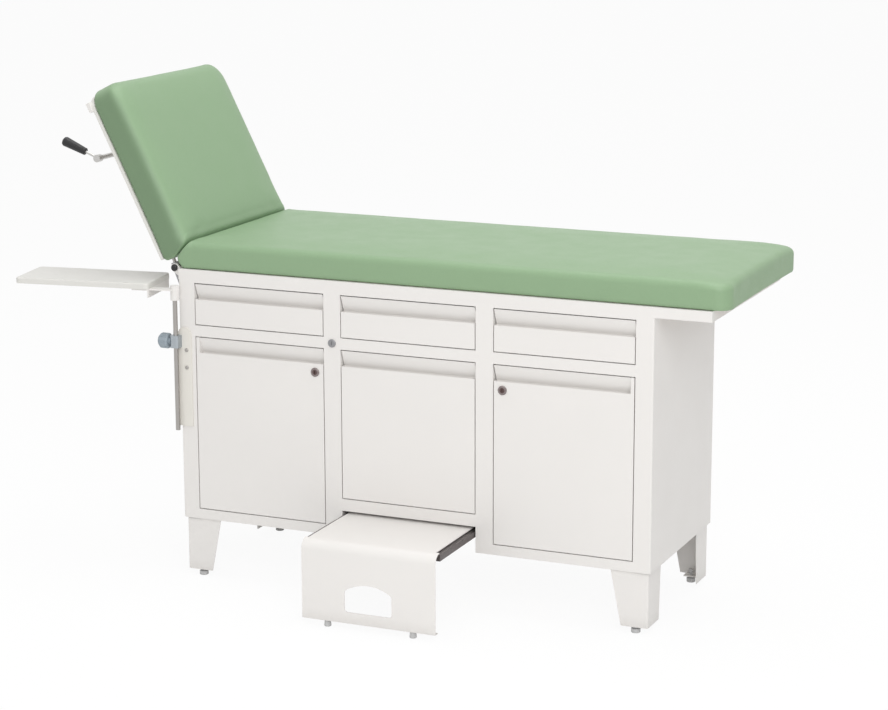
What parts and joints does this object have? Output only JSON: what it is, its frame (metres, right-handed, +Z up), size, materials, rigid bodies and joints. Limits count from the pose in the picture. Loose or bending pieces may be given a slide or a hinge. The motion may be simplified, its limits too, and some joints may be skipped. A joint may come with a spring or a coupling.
{
  "type": "examination table",
  "caption": "Examination table on a sheet-steel cabinet with drawers, doors, a pull-out step, a raised hinged backrest, a fixed mattress and an arm board on a clamped rod.",
  "frame": {"origin": "on the floor under the centre of the cabinet", "axes": "+X to the foot end, -Y to the front with the drawers and the step, +Z up"},
  "size_m": [1.9156, 0.831, 1.2798],
  "materials": {
    "white_paint": "satin enamel",
    "vinyl": "smooth vinyl-coated cloth over foam",
    "black_plastic": "fine grain",
    "grey_plastic": "fine grain",
    "steel": "satin",
    "grey_metal": "satin",
    "plywood": "raw plywood",
    "white_board": "white coated board"
  },
  "bodies": {
    "cabinet": {"end_panel_left": "white_paint", "end_panel_right": "white_paint", "partition_left": "white_paint", "partition_right": "white_paint", "top_panel": "white_paint", "back_panel": "white_paint", "floor_left": "white_paint", "floor_middle": "white_paint", "floor_right": "white_paint", "front_rails": "white_paint", "shelf_left": "white_paint", "shelf_right": "white_paint", "leg_front_left": "white_paint", "leg_front_right": "white_paint", "leg_back_left": "white_paint", "leg_back_right": "white_paint", "frame_front": "white_paint", "frame_foot": "white_paint", "frame_back": "white_paint", "frame_head": "white_paint", "spring_anchor": "white_paint", "rod_clamp": "white_paint", "drawer_runners": "steel", "door_pivots": "steel", "lock_strikes": "steel", "hinge_rod": "steel", "clamp_screws": "steel", "step_runners": "grey_metal", "levelling_feet": "grey_plastic", "mattress_pad": "vinyl", "mattress_board": "plywood"},
    "drawer_left": {"drawer_front_left": "white_paint", "drawer_box_left": "white_paint"},
    "drawer_middle": {"drawer_front_middle": "white_paint", "drawer_box_middle": "white_paint"},
    "drawer_right": {"drawer_front_right": "white_paint", "drawer_box_right": "white_paint"},
    "deep_drawer": {"deep_drawer_front": "white_paint", "deep_drawer_box": "white_paint"},
    "door_left": {"door_left": "white_paint"},
    "door_right": {"door_right": "white_paint"},
    "lock_left": {"lock_left": "steel"},
    "lock_right": {"lock_right": "steel"},
    "lock_centre": {"lock_centre": "steel"},
    "step": {"step_tread": "white_paint", "step_slides": "grey_metal", "step_feet": "grey_plastic"},
    "backrest": {"backrest_pad": "vinyl", "backrest_board": "white_board", "backrest_arms": "white_paint", "head_bar": "white_paint", "spring_bracket": "white_paint"},
    "lever": {"release_lever": "steel", "lever_grip": "black_plastic"},
    "spring_cylinder": {"spring_cylinder": "grey_metal"},
    "spring_rod": {"spring_rod": "steel"},
    "board_rod": {"board_rod": "steel"},
    "arm_board": {"arm_board": "white_board", "board_bracket": "white_paint"},
    "clamp_knob": {"clamp_knob": "grey_plastic"}
  },
  "joints": [
    {"name": "drawer_left_slide", "type": "slide", "parent": "cabinet", "child": "drawer_left", "axis": [0, -1, 0], "range_m": [0, 0.33]},
    {"name": "drawer_middle_slide", "type": "slide", "parent": "cabinet", "child": "drawer_middle", "axis": [0, -1, 0], "range_m": [0, 0.33]},
    {"name": "drawer_right_slide", "type": "slide", "parent": "cabinet", "child": "drawer_right", "axis": [0, -1, 0], "range_m": [0, 0.33]},
    {"name": "deep_drawer_slide", "type": "slide", "parent": "cabinet", "child": "deep_drawer", "axis": [0, -1, 0], "range_m": [0, 0.33]},
    {"name": "step_slide", "type": "slide", "parent": "cabinet", "child": "step", "axis": [0, 1, 0], "range_m": [0, 0.236]},
    {"name": "door_left_hinge", "type": "hinge", "parent": "cabinet", "child": "door_left", "pos_m": [-0.5875, -0.2355, 0], "axis": [0, 0, -1], "range_deg": [0, 105]},
    {"name": "door_right_hinge", "type": "hinge", "parent": "cabinet", "child": "door_right", "pos_m": [0.5875, -0.2355, 0], "axis": [0, 0, 1], "range_deg": [0, 105]},
    {"name": "lock_left_turn", "type": "hinge", "parent": "door_left", "child": "lock_left", "pos_m": [-0.254, -0.24, 0.579], "axis": [0, -1, 0], "range_deg": [0, 90]},
    {"name": "lock_right_turn", "type": "hinge", "parent": "door_right", "child": "lock_right", "pos_m": [0.254, -0.24, 0.579], "axis": [0, 1, 0], "range_deg": [0, 90]},
    {"name": "lock_centre_turn", "type": "hinge", "parent": "cabinet", "child": "lock_centre", "pos_m": [-0.206, -0.24, 0.6575], "axis": [0, -1, 0], "range_deg": [0, 90]},
    {"name": "backrest_hinge", "type": "hinge", "parent": "cabinet", "child": "backrest", "pos_m": [-0.655, 0, 0.816], "axis": [0, 1, 0], "range_deg": [-63.5, 0]},
    {"name": "lever_turn", "type": "hinge", "parent": "backrest", "child": "lever", "pos_m": [-0.93914, 0, 1.06766], "axis": [0, 1, 0], "range_deg": [0, 25]},
    {"name": "spring_foot_hinge", "type": "hinge", "parent": "cabinet", "child": "spring_cylinder", "pos_m": [-0.68, 0.055, 0.43726], "axis": [0, 1, 0], "range_deg": [-31.75, 0]},
    {"name": "spring_head_hinge", "type": "hinge", "parent": "backrest", "child": "spring_rod", "pos_m": [-0.93914, 0, 1.06766], "axis": [0, 1, 0], "range_deg": [0, 31.75]},
    {"name": "board_height", "type": "slide", "parent": "cabinet", "child": "board_rod", "axis": [0, 0, 1], "range_m": [-0.07, 0]},
    {"name": "board_swing", "type": "hinge", "parent": "board_rod", "child": "arm_board", "pos_m": [-0.645, -0.253, 0.77], "axis": [0, 0, 1], "range_deg": [0, 80]},
    {"name": "clamp_turn", "type": "hinge", "parent": "cabinet", "child": "clamp_knob", "pos_m": [-0.645, -0.253, 0.628], "axis": [1, 0, 0], "range_deg": [0, 180]}
  ],
  "couplings": [
    {"joint": "spring_foot_hinge", "follows": "backrest_hinge", "ratio": 0.5},
    {"joint": "spring_head_hinge", "follows": "backrest_hinge", "ratio": -0.5}
  ]
}
